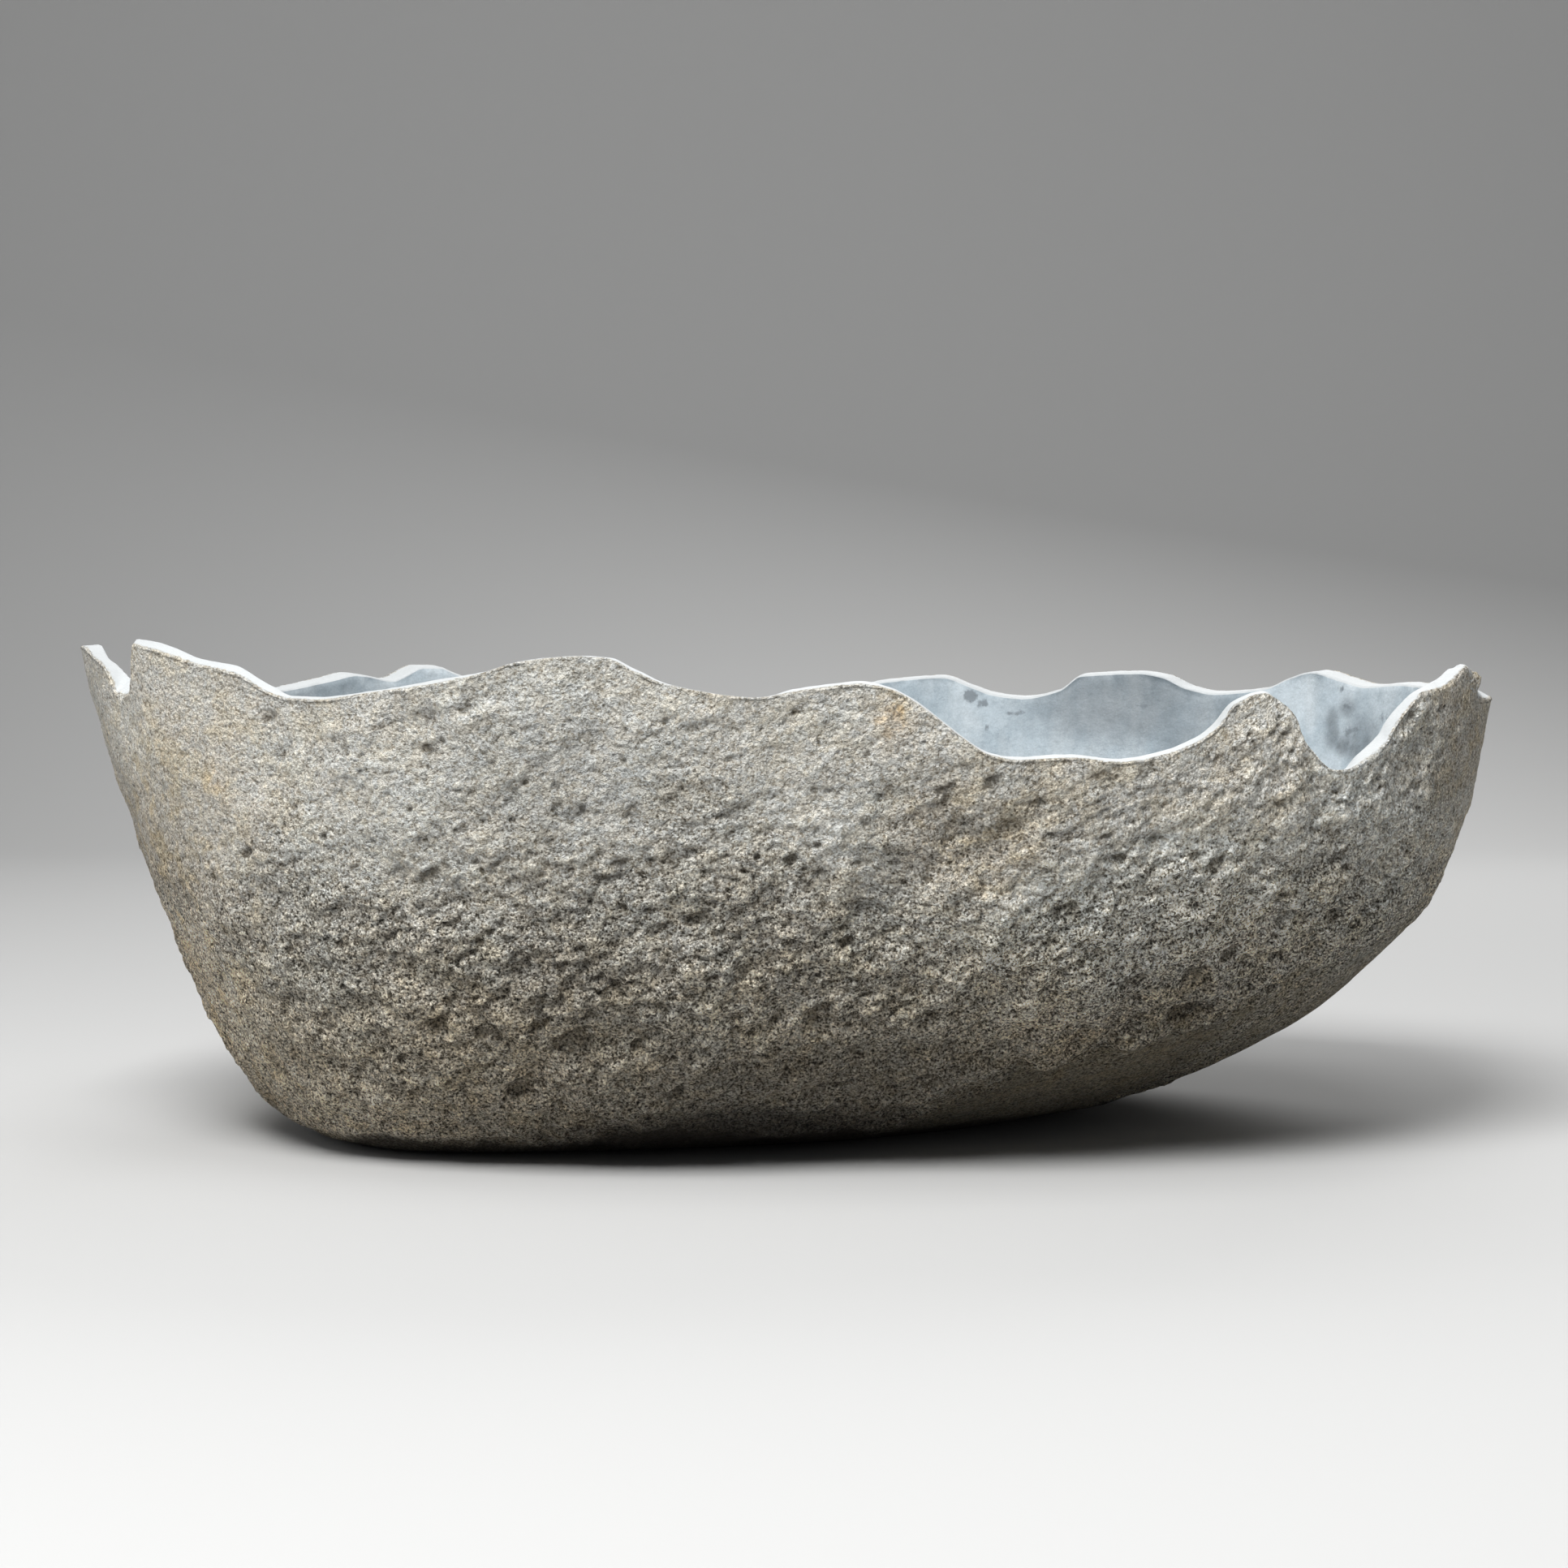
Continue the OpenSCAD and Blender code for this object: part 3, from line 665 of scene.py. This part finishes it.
# Soil at the foot, partly painted contact shadow: stronger on the front half and in a dark spot under the
# middle
dirt_and_contact_shade = (1 - step(2, 15, z + 4 * patch)) * (0.55 + 0.45 * (y < 0)) + spots([(262, 4, 60, 16, 0.7)])
attribute("soil_and_contact_shade", dirt_and_contact_shade * is_outer[:, None])
attribute("ochre", spots([
    (275.0, 160, 5, 10, 1), (274.1, 161, 2.5, 2.5, 0.9), (219.7, 138, 5, 3.5, 0.4),
    (232.2, 125, 13, 1.6, 0.35),
]))
attribute("mineral", spots([
    (75.1, 163, 4.2, 3.8, 1), (74.0, 160, 3.5, 2.5, 1), (70.6, 156, 7, 1.3, 0.9),
    (73.5, 149, 1.4, 2.4, 0.9), (56.8, 159, 3.5, 1.2, 0.7), (80.0, 162, 1.6, 1.6, 0.9),
    (28.8, 167, 1.8, 1.8, 0.9), (25.6, 148, 11, 9, 0.45), (27.2, 143.5, 7, 3, 0.6),
    (30.4, 153, 3, 4, 0.75), (19.9, 156, 6, 4, 0.5), (27.6, 159.5, 4, 2.2, 0.8), (125, 150, 6, 3, 0.7),
    (248, 120, 5, 9, 0.6), (165, 130, 4, 6, 0.6),
], inside))

# ---- material ----

SKIN_LOW, SKIN_MID, SKIN_PALE = (0.380, 0.353, 0.297), (0.472, 0.462, 0.424), (0.490, 0.491, 0.468)
WARM_TINT, TAN_TINT, COOL_TINT = (1.16, 0.93, 0.68), (1.02, 0.92, 0.72), (0.92, 1.0, 1.06)
COOL_GRAIN, WARM_GRAIN = (0.93, 1.0, 1.08), (1.07, 1.0, 0.88)
KEEL_COLOUR_AND_SHADE, GRAIN_SHADOW_TINT, OCHRE_TINT = (0.50, 0.49, 0.45), (1.03, 0.95, 0.82), (0.78, 0.65, 0.49)
RECESS_SHADE_TINT, RAISED_HIGHLIGHT_TINT = (0.25, 0.228, 0.19), (1.42, 1.42, 1.40)
PEPPER, SOIL_AND_CONTACT_SHADE = (0.050, 0.048, 0.043), (0.035, 0.027, 0.018)
CUT_DARK, CUT_PALE = (0.40, 0.418, 0.422), (0.54, 0.558, 0.563)
HOLLOW_DARK, HOLLOW_PALE = (0.325, 0.380, 0.415), (0.46, 0.51, 0.54)
VEIL, CLOUD, MINERAL = (0.60, 0.635, 0.65), (0.26, 0.31, 0.34), (0.14, 0.158, 0.172)

stone = bpy.data.materials.new("river_stone")
stone.use_nodes = True
tree = stone.node_tree
tree.nodes.clear()


def fill(socket, value):
    """Give a socket a number, a vector or another node's output."""
    if isinstance(value, bpy.types.NodeSocket):
        tree.links.new(value, socket)
    else:
        socket.default_value = value


def node(kind, props=(), **sockets):
    """A new node with its properties set, and its sockets, named by their labels, filled."""
    made = tree.nodes.new("ShaderNode" + kind)
    for key, value in dict(props).items():
        setattr(made, key, value)
    for key, value in sockets.items():
        fill(made.inputs[key.replace("_", " ")], value)
    return made


def calc(operation, a, b):
    made = node("Math", {"operation": operation})
    fill(made.inputs[0], a)
    fill(made.inputs[1], b)
    return made.outputs[0]


def times(a, b):
    return calc("MULTIPLY", a, b)


def total(start, *terms):
    """start plus every share times (value - middle)."""
    for value, share, middle in terms:
        start = calc("ADD", start, times(calc("SUBTRACT", value, middle), share))
    return start


def ramp(value, low, high, to_low=0.0, to_high=1.0):
    return node("MapRange", {"interpolation_type": "SMOOTHSTEP"}, Value=value, From_Min=low, From_Max=high,
                To_Min=to_low, To_Max=to_high).outputs[0]


def blend(share, a, b, kind="MIX"):
    """Colour a with b put over it by share. A colour is three numbers or an output."""
    made = node("Mix", {"data_type": "RGBA", "blend_type": kind, "clamp_result": False})
    fill(made.inputs[0], share)
    for socket, colour in ((made.inputs[6], a), (made.inputs[7], b)):
        fill(socket, (*colour, 1) if isinstance(colour, tuple) else colour)
    return made.outputs[2]


def tinted(share, colour, tint):
    return blend(share, colour, blend(1.0, colour, tint, "MULTIPLY"))


def grey(value):
    return node("CombineColor", Red=value, Green=value, Blue=value).outputs[0]


def split(colour):
    return node("SeparateColor", Color=colour).outputs


def field(name):
    return node("Attribute", {"attribute_name": name}).outputs["Fac"]


place = node("TexCoord").outputs["Object"]
tilted = node("Mapping", {"vector_type": "TEXTURE"}, Vector=place, Rotation=(0, -GRAIN_TILT, 0),
              Scale=(1.0, 1.0, 0.78)).outputs[0]
upright = node("Mapping", Vector=place, Scale=(1.0, 1.0, 0.3)).outputs[0]


def clouds(scale, detail, rough, at=place):
    return node("TexNoise", Vector=at, Scale=scale, Detail=detail, Roughness=rough).outputs["Fac"]


def mosaic(scale, at=place):
    return node("TexVoronoi", Vector=at, Scale=scale).outputs


# Mineral grains: every cell of a fine pattern has its own brightness
grain = mosaic(1500)
grain_value = split(grain["Color"])[0]
coarse = mosaic(430, tilted)
coarse_parts = split(coarse["Color"])
crumb = clouds(480, 4, 0.6)
sand = clouds(1100, 2, 0.6)
fine = clouds(1300, 3, 0.7)
mottle = clouds(170, 5, 0.65)
streak = clouds(120, 4, 0.6, tilted)

# Rough skin: browner at the foot and paler at the top, partly its own colour and partly painted shade, with
# warm and bluish patches
tone_and_height_shade = field("tone_and_height_shade")
skin = blend(ramp(tone_and_height_shade, 0.0, 0.55), SKIN_LOW, SKIN_MID)
skin = blend(ramp(tone_and_height_shade, 0.35, 1.0), skin, SKIN_PALE)
skin = tinted(times(field("warm"), 0.45), skin, WARM_TINT)
skin = tinted(times(ramp(clouds(85, 4, 0.6), 0.46, 0.62), field("warm")), skin, TAN_TINT)
skin = tinted(times(ramp(clouds(38, 3, 0.5), 0.42, 0.68), 0.22), skin, COOL_TINT)
skin = tinted(0.30, skin, blend(ramp(coarse_parts[2], 0.2, 0.8), COOL_GRAIN, WARM_GRAIN))
# The smooth keel is darker: partly its own colour, partly painted shade under the ledge
skin = tinted(ramp(total(field("keel"), (mottle, 1.4, 0.5)), 0.15, 0.9), skin, KEEL_COLOUR_AND_SHADE)

# Its grain: strongest at the foot, weakest on the smooth keel, with painted shade in its fine crevices,
# warmed where dark, and the painted light and shade of the shade spots
level = total(0.0, (grain_value, 0.62, 0.5), (sand, 2.1, 0.5), (mottle, 0.45, 0.5), (streak, 0.2, 0.5),
              (ramp(crumb, 0.48, 0.32), -0.30, 0.2))
keel_gain = ramp(field("keel"), 0.5, 1.0, 1.0, 0.55)
gain = times(ramp(tone_and_height_shade, 0.35, 0.95, 2.25, 0.80), times(keel_gain, field("contrast")))
level = calc("ADD", times(level, gain), 1.0)
skin = blend(1.0, skin, grey(times(calc("MAXIMUM", level, 0.12), field("shade"))), "MULTIPLY")
skin = tinted(ramp(level, 1.0, 0.45), skin, GRAIN_SHADOW_TINT)
pepper = times(ramp(coarse["Distance"], 0.45, 0.15), ramp(coarse_parts[0], 0.86, 0.90))
skin = blend(times(pepper, 0.5), skin, PEPPER)

# Painted shade in its hollows and scars and painted highlight on its high spots, the ochre stain by the rim,
# and the soil at the foot, with painted contact shadow in it
depth = total(0.0, (field("recess_shade"), 1.0, 0.0), (crumb, -2.2, 0.5), (mottle, -1.0, 0.5))
skin = tinted(ramp(depth, 0.0, 1.5, 0.0, 0.78), skin, RECESS_SHADE_TINT)
skin = tinted(ramp(depth, -0.1, -1.1, 0.0, 0.5), skin, RAISED_HIGHLIGHT_TINT)
skin = tinted(times(ramp(total(field("ochre"), (mottle, 4.0, 0.5)), 0.55, 1.3), 0.65), skin, OCHRE_TINT)
skin = blend(times(ramp(total(field("soil_and_contact_shade"), (mottle, 1.2, 0.5)), 0.3, 0.9), 0.85), skin, SOIL_AND_CONTACT_SHADE)

# Fresh cut of the rim
cut_tone = calc("ADD", times(grain_value, 0.16), times(clouds(90, 4, 0.6), 0.30))
fresh = blend(calc("ADD", cut_tone, 0.30), CUT_DARK, CUT_PALE)

# Ground hollow: pale blue-grey clouds, soft upright streaks and dark minerals, with painted shade from the
# shade spots
inner = blend(ramp(clouds(26, 5, 0.62), 0.36, 0.66), HOLLOW_DARK, HOLLOW_PALE)
inner = blend(times(ramp(clouds(60, 4, 0.6, upright), 0.42, 0.72), 0.45), inner, VEIL)
inner = blend(times(ramp(clouds(34, 5, 0.7), 0.60, 0.74), 0.28), inner, CLOUD)
inner_level = total(0.93, (grain_value, 0.10, 0.5), (fine, 0.22, 0.5), (clouds(150, 5, 0.68), 0.55, 0.5))
inner = blend(1.0, inner, grey(times(inner_level, field("shade"))), "MULTIPLY")
dark = total(field("mineral"), (clouds(210, 5, 0.7), 2.2, 0.5))
inner = blend(times(ramp(dark, 0.36, 0.84), 0.8), inner, MINERAL)

colour = blend(ramp(total(field("cut"), (grain_value, 0.55, 0.5)), 0.42, 0.58), skin, fresh)
colour = blend(ramp(field("ground"), 0.3, 0.7), colour, inner)
smooth = ramp(field("cut"), 0.2, 0.8)
roughness = calc("ADD", times(smooth, -0.22), calc("ADD", times(fine, 0.16), 0.80))

# Grain of the surface
tall = total(0.0, (crumb, 2.0, 0.5), (sand, 0.32, 0.5), (grain["Distance"], -0.14, 0.5),
             (clouds(170, 2, 0.5, tilted), 1.1, 0.5))
relief_height = times(times(tall, gain), calc("ADD", times(smooth, -0.93), 1.0))
bump = node("Bump", Strength=1.0, Distance=0.0024, Height=relief_height)

shader = node("BsdfPrincipled", Base_Color=colour, Roughness=roughness, Normal=bump.outputs[0],
              Specular_IOR_Level=0.35)
node("OutputMaterial", Surface=shader.outputs[0])
mesh.materials.append(stone)

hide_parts("bowl")
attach(bowl, "root")

# ---- stage: a pale floor that curves up into a backdrop, and soft light from above ----

FLOOR_FROM, FLOOR_TO, STAGE_HALF_WIDTH, CURVE, CURVE_POINTS, BACKDROP_TOP = -4.0, 1.6, 6.0, 1.2, 24, 5.0
AIM = (0, 0, 0.1)

profile = [(FLOOR_FROM, 0.0), (FLOOR_TO, 0.0)]
profile += [(FLOOR_TO + CURVE * math.sin(a), CURVE - CURVE * math.cos(a))
            for a in np.linspace(0, math.pi / 2, CURVE_POINTS)[1:]]
profile.append((FLOOR_TO + CURVE, BACKDROP_TOP))
verts = [(side, *point) for side in (-STAGE_HALF_WIDTH, STAGE_HALF_WIDTH) for point in profile]
n = len(profile)
sweep = bpy.data.meshes.new("studio_floor")
sweep.from_pydata(verts, [], [(i, n + i, n + i + 1, i + 1) for i in range(n - 1)])
sweep.polygons.foreach_set("use_smooth", [True] * (n - 1))
paper = bpy.data.materials.new("studio_paper")
paper.use_nodes = True
for label, value in (("Base Color", (0.47, 0.47, 0.466, 1)), ("Roughness", 0.9), ("Specular IOR Level", 0.2)):
    paper.node_tree.nodes["Principled BSDF"].inputs[label].default_value = value
sweep.materials.append(paper)
floor = bpy.data.objects.new("studio_floor", sweep)
bpy.context.scene.collection.objects.link(floor)


def soft_light(name, at, size, power):
    """A rectangular lamp at this place, aimed at the bowl; power in watts."""
    lamp = bpy.data.lights.new(name, "AREA")
    lamp.shape, lamp.size, lamp.size_y = "RECTANGLE", *size
    lamp.energy = power
    made = bpy.data.objects.new(name, lamp)
    made.location = at
    made.rotation_mode = "QUATERNION"
    made.rotation_quaternion = Vector(np.subtract(AIM, at)).to_track_quat("-Z", "Y")
    bpy.context.scene.collection.objects.link(made)


soft_light("key", (-0.42, -1.25, 1.68), (0.9, 0.9), 57.5)
soft_light("top", (0.10, -0.45, 2.10), (1.2, 1.2), 13)
soft_light("side", (-1.70, -0.35, 0.75), (1.0, 0.8), 3.8)
soft_light("back", (0.50, 1.70, 1.30), (1.4, 1.0), 22)

world = bpy.data.worlds.new("studio_air")
world.use_nodes = True
world.node_tree.nodes["Background"].inputs["Color"].default_value = (0.97, 0.985, 1.0, 1)
world.node_tree.nodes["Background"].inputs["Strength"].default_value = 0.16
bpy.context.scene.world = world
bpy.context.scene.view_settings.view_transform = "Standard"
